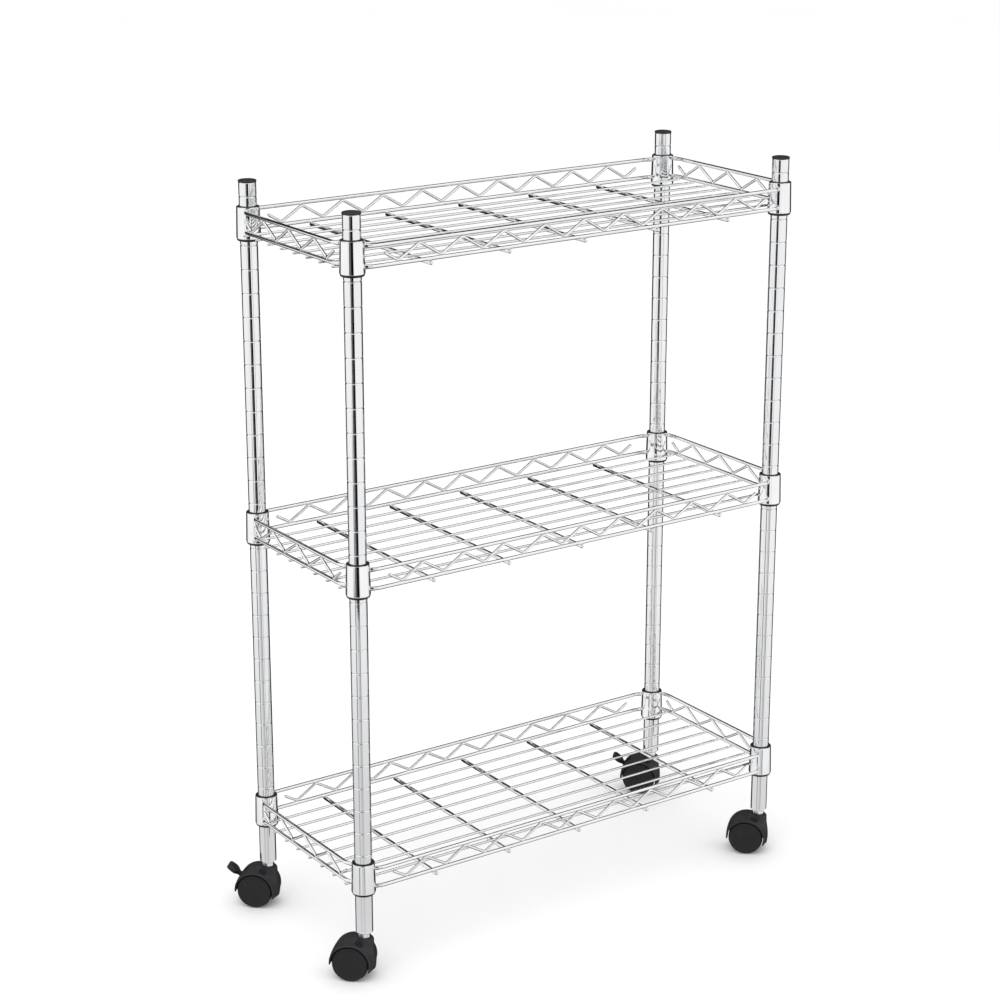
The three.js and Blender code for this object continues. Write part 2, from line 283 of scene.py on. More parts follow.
def plate(outline, low, high):
    """A flat plate: an outline of (x, z) points, from low to high along Y."""
    count = len(outline)
    verts = [(x, low, z) for x, z in outline] + [(x, high, z) for x, z in outline]
    faces = [list(range(count)), list(range(2 * count - 1, count - 1, -1))]
    for i in range(count):
        j = (i + 1) % count
        faces.append([i, i + count, j + count, j])
    return Shape().add(verts, faces)


def add_weld(shape, x, y, z, size):
    """Adds a small squashed bead of weld metal, as where two wires cross."""
    profile = [(0.0, -0.7), (0.72, -0.5), (1.0, 0.0), (0.72, 0.5), (0.0, 0.7)]
    bead = lathe([(r * size, h * size + z) for r, h in profile], 8)
    shape.join(bead, Matrix.Translation((x, y, 0)))


def piece(name, shape, material, body, slot, nodes=(), place=None, sharp=38.0, bevel=0.0):
    """Makes the Blender object for a shape, riding on a CAD body."""
    mesh = bpy.data.meshes.new(name)
    place = place or Matrix.Identity(4)
    verts = [tuple((place @ v) * MM) for v in shape.verts]
    mesh.from_pydata(verts, [], shape.faces)
    soft = bmesh.new()
    soft.from_mesh(mesh)
    bmesh.ops.recalc_face_normals(soft, faces=soft.faces)
    soft.to_mesh(mesh)
    soft.free()
    mesh.shade_smooth()
    mesh.set_sharp_from_angle(angle=math.radians(sharp))
    mesh.materials.append(material)
    obj = bpy.data.objects.new(name, mesh)
    bpy.context.scene.collection.objects.link(obj)
    if bevel:
        edge = obj.modifiers.new("edge", "BEVEL")
        edge.width = bevel * MM
        edge.segments = 2
        edge.limit_method = "ANGLE"
        edge.angle_limit = math.radians(30)
        edge.harden_normals = False
    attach(obj, body)
    if nodes:
        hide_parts(*nodes)
    return obj


def cut(obj, *cutters):
    """Cuts the cutter shapes out of obj for good."""
    for number, cutter in enumerate(cutters):
        mesh = bpy.data.meshes.new("cutter")
        mesh.from_pydata([tuple(v * MM) for v in cutter.verts], [], cutter.faces)
        tool = bpy.data.objects.new(f"cutter_{number}", mesh)
        bpy.context.scene.collection.objects.link(tool)
        carve = obj.modifiers.new("carve", "BOOLEAN")
        carve.operation = "DIFFERENCE"
        carve.solver = "EXACT"
        carve.object = tool
        graph = bpy.context.evaluated_depsgraph_get()
        carved = bpy.data.meshes.new_from_object(obj.evaluated_get(graph))
        obj.modifiers.clear()
        obj.data = carved
        bpy.data.objects.remove(tool)


# ------------------------------------------------------------------ finishes


class Nodes:
    """A short way to write a material's node tree."""

    def __init__(self, tree):
        self.tree = tree
        tree.nodes.clear()

    def new(self, kind, **settings):
        node = self.tree.nodes.new(kind)
        inputs = settings.pop("inputs", {})
        for key, value in settings.items():
            setattr(node, key, value)
        for key, value in inputs.items():
            if isinstance(value, bpy.types.NodeSocket):
                self.tree.links.new(value, node.inputs[key])
            else:
                node.inputs[key].default_value = value
        return node

    def ramp(self, factor, stops):
        node = self.tree.nodes.new("ShaderNodeValToRGB")
        self.tree.links.new(factor, node.inputs["Fac"])
        ramp = node.color_ramp
        while len(ramp.elements) < len(stops):
            ramp.elements.new(0.5)
        for element, (position, colour) in zip(ramp.elements, stops):
            element.position = position
            red, green, blue = colour if isinstance(colour, tuple) else (colour, colour, colour)
            element.color = (red, green, blue, 1.0)
        return node.outputs["Color"]

    def math(self, operation, a, b=None, clamp=False):
        inputs = {0: a}
        if b is not None:
            inputs[1] = b
        node = self.new("ShaderNodeMath", operation=operation, use_clamp=clamp, inputs=inputs)
        return node.outputs[0]


def noise(nodes, coords, scale, detail=3.0, rough=0.5):
    settings = {"Vector": coords, "Scale": scale, "Detail": detail, "Roughness": rough}
    return nodes.new("ShaderNodeTexNoise", inputs=settings).outputs["Fac"]


def stretched(nodes, coords, scale):
    return nodes.new("ShaderNodeMapping", inputs={"Vector": coords, "Scale": scale}).outputs["Vector"]


def bump(nodes, height, strength, distance):
    settings = {"Height": height, "Strength": strength, "Distance": distance}
    return nodes.new("ShaderNodeBump", inputs=settings).outputs["Normal"]


def new_material(name):
    material = bpy.data.materials.new(name)
    material.use_nodes = True
    nodes = Nodes(material.node_tree)
    return material, nodes, nodes.new("ShaderNodeTexCoord").outputs["Object"]


def surface(nodes, inputs):
    """Ends a material in its shader."""
    shader = nodes.new("ShaderNodeBsdfPrincipled", inputs=inputs)
    out = nodes.new("ShaderNodeOutputMaterial")
    nodes.tree.links.new(shader.outputs["BSDF"], out.inputs["Surface"])


def metal(name, tint, dull_tint, rough, grain, wear_scale, relief):
    """Plated metal: faint clouding, polishing grain and fine handling marks."""
    material, nodes, coords = new_material(name)
    smooth, dull = rough
    cloud = noise(nodes, coords, wear_scale, 4.0, 0.55)
    lines = noise(nodes, stretched(nodes, coords, grain), 1.0, 2.0, 0.6)
    marks = noise(nodes, coords, wear_scale * 14.0, 5.0, 0.7)
    colour = nodes.ramp(cloud, [(0.3, dull_tint), (0.62, tint)])
    spots = nodes.ramp(marks, [(0.66, 0.0), (0.8, 1.0)])
    base = nodes.ramp(cloud, [(0.25, dull), (0.55, smooth), (0.8, (smooth + dull) / 2)])
    drawn = nodes.math("MULTIPLY", lines, dull - smooth)
    scuffed = nodes.math("MULTIPLY", spots, dull * 0.9)
    roughness = nodes.math("ADD", nodes.math("ADD", base, drawn), scuffed, clamp=True)
    line_height = nodes.math("MULTIPLY", lines, 0.6)
    height = nodes.math("ADD", line_height, nodes.math("MULTIPLY", marks, 0.5))
    normal = bump(nodes, height, relief, 0.0002)
    surface(nodes, {"Base Color": colour, "Roughness": roughness, "Metallic": 1.0, "Normal": normal})
    return material


def plastic(name, dark, worn_and_lit_tone, rough, texture_scale, relief, specular, coarse=0.0):
    """Moulded black plastic: a fine spark texture, dust, scuffs and, on a wheel, a coarser grain. Faces
    turned up are painted lighter, partly as settled dust and partly as painted sheen.
    """
    material, nodes, coords = new_material(name)
    cloud = noise(nodes, coords, 55.0, 4.0, 0.6)
    grain = noise(nodes, coords, texture_scale, 2.0, 0.5)
    scuff = noise(nodes, stretched(nodes, coords, (380.0, 380.0, 120.0)), 1.0, 4.0, 0.65)
    geometry = nodes.new("ShaderNodeNewGeometry")
    facing = nodes.new("ShaderNodeSeparateXYZ", inputs={0: geometry.outputs["Normal"]})
    # Painted sheen: faces turned up are painted lighter towards the worn tone, partly as settled dust and
    # partly as the lighter top that light from above gives.
    facing_up = nodes.math("MULTIPLY", nodes.math("MAXIMUM", facing.outputs["Z"], 0.0), cloud)
    settled_dust_and_top_sheen = nodes.math("MULTIPLY", facing_up, 0.45)
    dust_scuffs_and_top_sheen = nodes.math("ADD", settled_dust_and_top_sheen, nodes.ramp(scuff, [(0.6, 0.0), (0.78, 0.5)]), clamp=True)
    # The colour runs from dark to the worn tone with dust, scuffs and the painted top sheen.
    colour = nodes.ramp(dust_scuffs_and_top_sheen, [(0.0, dark), (1.0, worn_and_lit_tone)])
    sheen = nodes.ramp(cloud, [(0.3, rough[0]), (0.7, rough[1])])
    roughness = nodes.math("ADD", sheen, nodes.math("MULTIPLY", dust_scuffs_and_top_sheen, 0.15), clamp=True)
    height = grain
    if coarse:
        pits = noise(nodes, stretched(nodes, coords, (coarse, coarse, coarse)), 1.0, 2.0, 0.5)
        height = nodes.math("ADD", grain, nodes.math("MULTIPLY", pits, 0.4))
    normal = bump(nodes, height, relief, 0.0003)
    gloss = {"Roughness": roughness, "Specular IOR Level": specular}
    surface(nodes, {"Base Color": colour, "Normal": normal, **gloss})
    return material


POST_CHROME = metal(
    "post_chrome",
    tint=(0.9, 0.905, 0.915),
    dull_tint=(0.86, 0.865, 0.88),
    rough=(0.035, 0.075),
    grain=(60, 60, 900),
    wear_scale=9.0,
    relief=0.05,
)
SHELF_CHROME = metal(
    "shelf_chrome",
    tint=(0.955, 0.958, 0.965),
    dull_tint=(0.89, 0.895, 0.91),
    rough=(0.025, 0.065),
    grain=(240, 240, 240),
    wear_scale=22.0,
    relief=0.04,
)
ZINC = metal(
    "bright_zinc",
    tint=(0.85, 0.86, 0.88),
    dull_tint=(0.7, 0.71, 0.74),
    rough=(0.12, 0.24),
    grain=(300, 300, 1500),
    wear_scale=60.0,
    relief=0.15,
)
# Each plastic's worn tone is also the colour of its painted sheen on faces turned up.
BLACK = plastic(
    "black_plastic",
    dark=(0.007, 0.007, 0.0075),
    worn_and_lit_tone=(0.1, 0.1, 0.104),
    rough=(0.28, 0.42),
    texture_scale=900.0,
    relief=0.08,
    specular=0.4,
)
HOOD = plastic(
    "hood_plastic",
    dark=(0.017, 0.017, 0.019),
    worn_and_lit_tone=(0.06, 0.06, 0.065),
    rough=(0.42, 0.55),
    texture_scale=1300.0,
    relief=0.16,
    specular=0.3,
)
WHEEL = plastic(
    "wheel_plastic",
    dark=(0.011, 0.011, 0.0125),
    worn_and_lit_tone=(0.04, 0.04, 0.043),
    rough=(0.45, 0.6),
    texture_scale=1500.0,
    relief=0.14,
    specular=0.28,
    coarse=700.0,
)

# ------------------------------------------------------------------ posts


def post_shape():
    """A grooved tube with its threaded foot, open at the top as deep as its cap needs."""
    top = POST_BOTTOM + POST_LENGTH
    outside = [
        (FOOT_BORE_R, POST_BOTTOM + 1.0),
        (FOOT_BORE_R + 0.7, POST_BOTTOM + 0.35),
        (7.5, POST_BOTTOM + 0.35),
        (7.8, POST_BOTTOM + 0.1),
        (8.3, POST_BOTTOM),
        (8.85, POST_BOTTOM + 0.2),
        (9.15, POST_BOTTOM + 0.65),
        (POST_R, POST_BOTTOM + 1.4),
        (POST_R, POST_BOTTOM + 2.0),
    ]
    for step in reversed(range(GROOVES)):
        groove = TOP_GROOVE - step * GROOVE_PITCH
        outside += [
            (POST_R, groove - 1.5),
            (POST_R, groove - 0.95),
            (POST_R - 0.12, groove - 0.7),
            (POST_R - GROOVE_DEPTH, groove - 0.3),
            (POST_R - GROOVE_DEPTH, groove + 0.3),
            (POST_R - 0.12, groove + 0.7),
            (POST_R, groove + 0.95),
            (POST_R, groove + 1.5),
        ]
    outside += [
        (POST_R, top - 1.2),
        (POST_R, top - 0.5),
        (POST_R - 0.3, top),
        (POST_BORE_R, top),
        (POST_BORE_R, top - CAP_ROOM),
    ]
    bore = POST_BOTTOM + FOOT_HEIGHT
    profile = [(0.0, bore), (FOOT_BORE_R, bore)] + outside + [(0.0, top - CAP_ROOM)]
    return lathe(profile, 64)


def cap_shape():
    return lathe(
        [
            (0.0, CAP_BOTTOM - CAP_PLUG_DEPTH),
            (CAP_PLUG_R - 0.3, CAP_BOTTOM - CAP_PLUG_DEPTH),
            (CAP_PLUG_R, CAP_BOTTOM - CAP_PLUG_DEPTH + 0.4),
            (CAP_PLUG_R, CAP_BOTTOM + 0.1),
            (CAP_R - 0.35, CAP_BOTTOM),
            (CAP_R, CAP_BOTTOM + 0.35),
            (CAP_R, CAP_TOP - 1.0),
            (CAP_R - 0.15, CAP_TOP - 0.55),
            (CAP_R - 0.55, CAP_TOP - 0.2),
            (CAP_R - 1.2, CAP_TOP - 0.02),
            (CAP_R - 2.0, CAP_TOP),
            (CAP_R - 2.6, CAP_TOP - 0.12),
            (CAP_R - 3.6, CAP_TOP - 0.12),
            (0.0, CAP_TOP - 0.12),
        ],
        56,
    )


for corner in CORNERS:
    at = Matrix.Translation((POST[corner].x, POST[corner].y, 0))
    tube, node = post_shape(), f"post_{corner}"
    piece(f"post_tube_{corner}", tube, POST_CHROME, "rack", "post_chrome", [node], at, 25)
    cap, node = cap_shape(), f"post_cap_{corner}"
    piece(f"post_end_cap_{corner}", cap, BLACK, "rack", "black_plastic", [node], at)

# ------------------------------------------------------------------ shelves


def collar_shape():
    """A tapered collar, narrower at the top, with rolled rims. Its top is at height 0."""
    inner_top = COLLAR_R_TOP - COLLAR_WALL
    inner_bottom = COLLAR_R_BOTTOM - COLLAR_WALL
    return lathe(
        [
            (inner_bottom + 0.2, -COLLAR_HEIGHT),
            (COLLAR_R_BOTTOM - 0.45, -COLLAR_HEIGHT),
            (COLLAR_R_BOTTOM - 0.12, -COLLAR_HEIGHT + 0.14),
            (COLLAR_R_BOTTOM, -COLLAR_HEIGHT + 0.5),
            (COLLAR_R_BOTTOM - 0.012, -COLLAR_HEIGHT + 1.0),
            (COLLAR_R_TOP + 0.03, -1.2),
            (COLLAR_R_TOP + 0.01, -0.6),
            (COLLAR_R_TOP - 0.14, -0.16),
            (COLLAR_R_TOP - 0.5, 0.0),
            (inner_top + 0.15, 0.0),
            (inner_top, -0.3),
            (inner_bottom, -COLLAR_HEIGHT + 0.3),
        ],
        64,
    )


def sleeve_shape(front):
    """Half of the plastic wedge inside a collar, split by a seam, with a lip below the collar."""
    gap = math.degrees(math.asin(SLEEVE_SEAM / 2 / SLEEVE_R_IN))
    arc = (180 + gap, 360 - gap) if front else (gap, 180 - gap)
    lip = -COLLAR_HEIGHT - 0.3
    return lathe(
        [
            (SLEEVE_R_IN, SLEEVE_TOP - 0.25),
            (SLEEVE_R_IN + 0.2, SLEEVE_TOP),
            (10.2, SLEEVE_TOP),
            (10.5, SLEEVE_TOP - 0.3),
            (10.6, 0.0),
            (11.4, lip + 0.1),
            (11.5, lip),
            (12.0, lip - 0.1),
            (SLEEVE_LIP_R, lip - 0.5),
            (SLEEVE_LIP_R, lip - 1.1),
            (SLEEVE_LIP_R - 0.3, lip - 1.8),
            (SLEEVE_LIP_R - 0.9, lip - 2.3),
            (SLEEVE_R_IN + 0.3, lip - 2.4),
            (SLEEVE_R_IN, lip - 2.1),
        ],
        32,
        arc,
    )


SIDE_NAMES = {(True, -1): "front", (True, 1): "rear", (False, -1): "left", (False, 1): "right"}


def side_point(along_x, along, out, z):
    return (along, out, z) if along_x else (out, along, z)


def rail_shape(along_x, side, z):
    """A straight rail that bends in at each end to a pinched tip on the collar."""
    half = HALF_X if along_x else HALF_Y
    other = HALF_Y if along_x else HALF_X
    out = side * (other + RAIL_OFFSET)
    collar = side * (other + RAIL_END_OUT)
    corners = [
        (RAIL_END - half, collar),
        (RAIL_BEND - half, out),
        (half - RAIL_BEND, out),
        (half - RAIL_END, collar),
    ]
    path = fillet([side_point(along_x, s, t, z) for s, t in corners], RAIL_BEND_R)
    return sweep(path, RAIL_R, (0, 0, 1), 14, RAIL_PINCH, RAIL_PINCH_LENGTH)


def truss_points(along_x, rails):
    """The bends of the zigzag wire: valleys on the lower rail, peaks under the upper one."""
    valleys, stub = FRONT_TRUSS if along_x else SIDE_TRUSS
    low = rails[1] + TRUSS_CLEAR
    high = rails[0] - TRUSS_CLEAR
    first = -(valleys - 1) / 2 * TRUSS_PITCH
    bends = [(first + i * TRUSS_PITCH / 2, high if i % 2 else low) for i in range(2 * valleys - 1)]
    tip = low + TRUSS_STUB_RISE
    return [(first - stub, tip)] + bends + [(-first + stub, tip)]


def shelf_pieces(shelf):
    """One shelf: collars and sleeves at the posts, rails and zigzags round it, wires across it."""
    body, slot = "rack", "shelf_chrome"
    frame_node, deck_node = f"shelf_{shelf}_frame", f"shelf_{shelf}_deck"
    level = Matrix.Translation((CENTRE_X, CENTRE_Y, COLLAR_TOP[shelf]))
    for corner in CORNERS:
        at = Matrix.Translation((POST[corner].x, POST[corner].y, COLLAR_TOP[shelf]))
        piece(f"collar_{shelf}_{corner}", collar_shape(), SHELF_CHROME, body, slot, [frame_node], at, 30)
        for half in ("front", "rear"):
            node = f"sleeve_{shelf}_{corner}_{half}"
            sleeve = sleeve_shape(half == "front")
            piece(f"wedge_{shelf}_{corner}_{half}", sleeve, BLACK, body, "black_plastic", [node], at)
    for along_x, rails in ((True, FRONT_RAILS), (False, SIDE_RAILS)):
        other = HALF_Y if along_x else HALF_X
        for side in (-1, 1):
            name = SIDE_NAMES[along_x, side]
            plane = side * (other + RAIL_OFFSET)
            for level_name, z in zip(("upper", "lower"), rails):
                rail, shape = f"rail_{shelf}_{name}_{level_name}", rail_shape(along_x, side, z)
                piece(rail, shape, SHELF_CHROME, body, slot, [frame_node], level)
            bends = truss_points(along_x, rails)
            path = fillet([side_point(along_x, s, plane, z) for s, z in bends], TRUSS_BEND_R)
            zigzag = sweep(path, TRUSS_R, (0, 1, 0) if along_x else (1, 0, 0), 12)
            for s, z in bends[1:-1]:
                on_lower = z < (rails[0] + rails[1]) / 2
                touch = rails[1] + RAIL_R - 0.2 if on_lower else rails[0] - RAIL_R + 0.2
                add_weld(zigzag, *side_point(along_x, s, plane, touch), 1.5)
            piece(f"zigzag_{shelf}_{name}", zigzag, SHELF_CHROME, body, slot, [frame_node], level)
    end_x = HALF_X + RAIL_OFFSET + DECK_WIRE_NUB
    end_y = HALF_Y + RAIL_OFFSET + CROSS_WIRE_NUB
    rows = [(i - (DECK_WIRES - 1) / 2) * DECK_WIRE_PITCH for i in range(DECK_WIRES)]
    columns = [(i - (CROSS_WIRES - 1) / 2) * CROSS_WIRE_PITCH for i in range(CROSS_WIRES)]
    deck = Shape()
    for y in rows:
        path = [(-end_x, y, DECK_WIRE_Z), (end_x, y, DECK_WIRE_Z)]
        deck.join(sweep(path, DECK_WIRE_R, (0, 0, 1), 12))
        for x in columns:
            add_weld(deck, x, y, DECK_WIRE_Z - 1.1, 1.7)
        for side in (-1, 1):
            add_weld(deck, side * (HALF_X + RAIL_OFFSET), y, DECK_WIRE_Z + 1.3, 1.3)
    piece(f"deck_wires_{shelf}", deck, SHELF_CHROME, body, slot, [deck_node], level)
    cross = Shape()
    for x in columns:
        path = [(x, -end_y, CROSS_WIRE_Z), (x, end_y, CROSS_WIRE_Z)]
        cross.join(sweep(path, CROSS_WIRE_R, (0, 0, 1), 14))
        for side in (-1, 1):
            add_weld(cross, x, side * (HALF_Y + RAIL_OFFSET), CROSS_WIRE_Z + 2.0, 1.8)
    piece(f"cross_wires_{shelf}", cross, SHELF_CHROME, body, slot, [deck_node], level)


for shelf in SHELVES:
    shelf_pieces(shelf)

# ------------------------------------------------------------------ casters

# In a caster's own space the swivel axis is Z, X points to the trailing side and the axle
# runs along Y.

LAID_ALONG_Y = Matrix.Rotation(math.radians(90), 4, "X")


def hexagon(radius, turn):
    """How far a hexagon's edge is from its centre, at turn degrees from the middle of a side."""
    inside = (turn + 30) % 60 - 30
    return radius * math.cos(math.radians(30)) / math.cos(math.radians(inside))


def stem_shape():
    """The threaded stem, drawn smooth, with a chamfered hexagon nut formed on it."""
    shape = lathe(
        [
            (0.0, STEM_BOTTOM),
            (STEM_R - 0.5, STEM_BOTTOM),
            (STEM_R, STEM_BOTTOM + 0.5),
            (STEM_R, STEM_TOP - 0.8),
            (STEM_R - 0.8, STEM_TOP),
            (0.0, STEM_TOP),
        ],
        24,
    )
    flat = NUT_R * math.cos(math.radians(30))
    levels = [
        (NUT_BOTTOM, flat - 0.1),
        (NUT_BOTTOM + 0.3, flat + 0.3),
        (NUT_BOTTOM + 0.9, NUT_R),
        (NUT_TOP - 0.9, NUT_R),
        (NUT_TOP - 0.3, flat + 0.3),
        (NUT_TOP, flat - 0.1),
    ]
    rings = []
    for z, limit in levels:
        ring = []
        for turn in range(0, 360, 6):
            radius = min(hexagon(NUT_R, turn - NUT_TURN), limit)
            angle = math.radians(turn)
            ring.append((radius * math.cos(angle), radius * math.sin(angle), z))
        rings.append(ring)
    return shape.join(loft(rings))


def smooth_min(a, b, blend):
    mix = max(0.0, min(1.0, 0.5 + 0.5 * (b - a) / blend))
    return b + (a - b) * mix - blend * mix * (1 - mix)


def hood_field(x, w, z):
    """Below zero inside the hood's outer form: a crowned cover with a stem boss grown out of it.

    A scoop beside the boss, over each wheel, leaves room for a spanner on the stem's nut.
    """
    share = abs(w) / HOOD_HALF_WIDTH
    edge = max(0.0, abs(w) - (HOOD_HALF_WIDTH - HOOD_EDGE)) / HOOD_EDGE
    crowned = HOOD_R_OUT + HOOD_CROWN - HOOD_CROWN * share**2 - HOOD_EDGE_DROP * edge**2
    cover = math.hypot(x - TRAIL, z - WHEEL_R) - crowned
    across = math.hypot(x, w) - BOSS_R + BOSS_ROUND
    above = z - HOOD_TOP + BOSS_ROUND
    boss = math.hypot(max(across, 0.0), max(above, 0.0)) + min(max(across, above), 0.0) - BOSS_ROUND
    form = max(smooth_min(cover, boss, BOSS_BLEND), z - HOOD_TOP)
    offsets = (x - SCOOP[0], abs(w) - SCOOP[1], z - SCOOP[2])
    reach = math.sqrt(sum((offset / size) ** 2 for offset, size in zip(offsets, SCOOP_SIZE)))
    return -smooth_min(-form, (reach - 1.0) * SCOOP_SIZE[1], SCOOP_BLEND)


def hood_radius(turn, w):
    """How far from the axle the hood's outside is in one direction, found by halving."""
    low, high = HOOD_R_IN, 45.0
    for _ in range(22):
        radius = (low + high) / 2
        inside = hood_field(TRAIL + radius * math.cos(turn), w, WHEEL_R + radius * math.sin(turn)) < 0
        low, high = (radius, high) if inside else (low, radius)
    return max(low, HOOD_R_IN + 0.5)


def hood_shape():
    """The cover over both wheels, as one closed shell."""
    turns = [math.radians(-3 + 203 * i / 110) for i in range(111)]
    across = [-1.0, -0.985, -0.95, -0.9]
    across += [-0.84 + 1.68 * i / 42 for i in range(43)] + [0.9, 0.95, 0.985, 1.0]
    widths = [share * HOOD_HALF_WIDTH for share in across]
    columns = len(widths)
    verts = []
    for outer in (True, False):
        for turn in turns:
            for w in widths:
                radius = hood_radius(turn, w) if outer else HOOD_R_IN
                verts.append((TRAIL + radius * math.cos(turn), w, WHEEL_R + radius * math.sin(turn)))
    inner = len(turns) * columns
    faces = []
    for i in range(len(turns) - 1):
        for k in range(columns - 1):
            a, b = i * columns + k, i * columns + k + 1
            c, d = b + columns, a + columns
            faces.append([a, b, c, d])
            faces.append([inner + d, inner + c, inner + b, inner + a])
        for k in (0, columns - 1):
            a, d = i * columns + k, (i + 1) * columns + k
            faces.append([a, d, inner + d, inner + a] if k == 0 else [d, a, inner + a, inner + d])
    for i in (0, len(turns) - 1):
        for k in range(columns - 1):
            a, b = i * columns + k, i * columns + k + 1
            faces.append([b, a, inner + a, inner + b] if i == 0 else [a, b, inner + b, inner + a])
    return Shape().add(verts, faces)


def web_shape():
    """The plate between the two wheels that holds the stem socket and the axle."""
    outline = [(-7, 44), (-8.6, 40), (-7.6, 22), (2, 21.5), (9, 14), (17, 14), (22, 24)]
    outline += [(31.5, 26.5), (31.2, 32.5), (26, 37.5), (13, 41.0), (7, 43)]
    return plate(outline, -WEB_HALF, WEB_HALF)


def wheel_shape(side):
    """A cupped wheel: a plain, slightly domed outer disc and a tread. side is +1 or -1 along Y."""
    profile = [
        (0.0, AXLE_HALF_LENGTH + 0.3),
        (AXLE_R + 0.14, AXLE_HALF_LENGTH + 0.3),
        (AXLE_R + 0.14, WHEEL_INNER + 0.3),
        (AXLE_R + 0.5, WHEEL_INNER),
        (WHEEL_HUB_R - 0.3, WHEEL_INNER),
        (WHEEL_HUB_R, WHEEL_INNER + 0.3),
        (WHEEL_HUB_R, WHEEL_WEB),
        (WHEEL_CUP_R, WHEEL_WEB),
        (WHEEL_CUP_R, WHEEL_INNER + 0.3),
        (WHEEL_CUP_R + 0.3, WHEEL_INNER),
        (WHEEL_R - 0.7, WHEEL_INNER),
        (WHEEL_R - 0.15, WHEEL_INNER + 0.35),
        (WHEEL_R, WHEEL_INNER + 1.0),
        (WHEEL_R, WHEEL_FACE - 3.6),
        (WHEEL_R - 0.15, WHEEL_FACE - 3.1),
        (WHEEL_R - 0.5, WHEEL_FACE - 2.8),
        (WHEEL_R - 0.95, WHEEL_FACE - 2.7),
        (WHEEL_R - 1.0, WHEEL_FACE - 0.6),
        (WHEEL_R - 1.2, WHEEL_FACE - 0.28),
        (WHEEL_R - 1.6, WHEEL_FACE - 0.14),
        (WHEEL_R - 2.2, WHEEL_FACE - 0.12),
        (WHEEL_R - 2.4, WHEEL_FACE - 0.2),
        (14.0, WHEEL_FACE - 0.1),
        (8.0, WHEEL_FACE - 0.03),
        (0.0, WHEEL_FACE),
    ]
    turned = lathe(profile, 72)
    lay = Matrix.Rotation(math.radians(-90 * side), 4, "X")
    return Shape().join(turned, Matrix.Translation((TRAIL, 0, WHEEL_R)) @ lay)


def axle_shape():
    rod = rod_shape(AXLE_R, AXLE_HALF_LENGTH, 0.4, 24)
    return Shape().join(rod, Matrix.Translation((TRAIL, 0, WHEEL_R)) @ LAID_ALONG_Y)


def rod_shape(radius, half_length, chamfer, sides):
    end = half_length - chamfer
    neck = radius - chamfer
    return lathe(
        [
            (0.0, -half_length),
            (neck, -half_length),
            (radius, -end),
            (radius, end),
            (neck, half_length),
            (0.0, half_length),
        ],
        sides,
    )


def rounded_section(x, z, half_width, half_thick, tilt, count=24):
    """A flat rounded outline across the pedal, centred on (x, z) and leaning back by tilt."""
    ring = []
    for i in range(count):
        turn = 2 * math.pi * i / count
        c, s = math.cos(turn), math.sin(turn)
        w = half_width * math.copysign(abs(c) ** 0.45, c)
        t = half_thick * math.copysign(abs(s) ** 0.6, s)
        ring.append((x - t * math.sin(tilt), w, z + t * math.cos(tilt)))
    return ring


def loft(rings):
    """A closed skin over rings of equally many points, capped at both ends."""
    count = len(rings[0])
    faces = [list(reversed(range(count))), [(len(rings) - 1) * count + i for i in range(count)]]
    for level in range(len(rings) - 1):
        for i in range(count):
            j = (i + 1) % count
            low, high = level * count, (level + 1) * count
            faces.append([low + i, low + j, high + j, high + i])
    return Shape().add([v for ring in rings for v in ring], faces)


def pedal_shape():
    """The brake pedal: a narrow arm on its pin that fans out into a thick curved tread."""
    px, pz = PEDAL_PIVOT
    # x and z from the pivot, half width, half thickness, lean in degrees
    sections = [
        (-3.4, -0.6, 2.2, 1.0, 10),
        (-3.0, -0.6, 3.0, 1.9, 10),
        (0.0, 0.0, 3.2, 2.7, 14),
        (4.5, 1.8, 3.2, 2.3, 28),
        (7.5, 3.6, 3.3, 2.0, 36),
        (9.0, 4.8, 4.4, 2.2, 40),
        (10.2, 5.8, 5.9, 2.7, 42),
        (12.0, 7.4, 6.8, 3.1, 42),
        (15.0, 9.9, 7.3, 3.0, 38),
        (17.6, 11.8, 7.4, 2.6, 34),
        (19.2, 12.8, 7.1, 1.8, 32),
        (20.0, 13.2, 6.2, 0.7, 30),
    ]
    rings = [rounded_section(px + x, pz + z, w, t, math.radians(a)) for x, z, w, t, a in sections]
    shape = loft(rings)
    for x, z in ((10.7, 10.25), (12.9, 12.0), (15.1, 13.3)):
        rib = lathe([(0.0, -4.8), (0.35, -4.7), (0.55, -4.3), (0.55, 4.3), (0.35, 4.7), (0.0, 4.8)], 10)
        shape.join(rib, Matrix.Translation((px + x, 0, pz + z)) @ LAID_ALONG_Y)
    return shape


def pin_shape():
    px, pz = PEDAL_PIVOT
    pin = rod_shape(PEDAL_PIN_R, PEDAL_PIN_HALF_LENGTH, 0.3, 20)
    return Shape().join(pin, Matrix.Translation((px, 0, pz)) @ LAID_ALONG_Y)


HOOD_FORM = hood_shape()
SOCKET_ENDS = (STEM_BOTTOM - 0.5, HOOD_TOP + 5)
SOCKET = lathe(
    [(0.0, SOCKET_ENDS[0]), (SOCKET_R, SOCKET_ENDS[0]), (SOCKET_R, SOCKET_ENDS[1]), (0.0, SOCKET_ENDS[1])],
    32,
)
SLOT_OUTLINE = [(20.5, 24), (44, 20), (44, 46), (29, 46), (20.5, 36)]
SLOT = plate(SLOT_OUTLINE, -PEDAL_SLOT_HALF, PEDAL_SLOT_HALF)


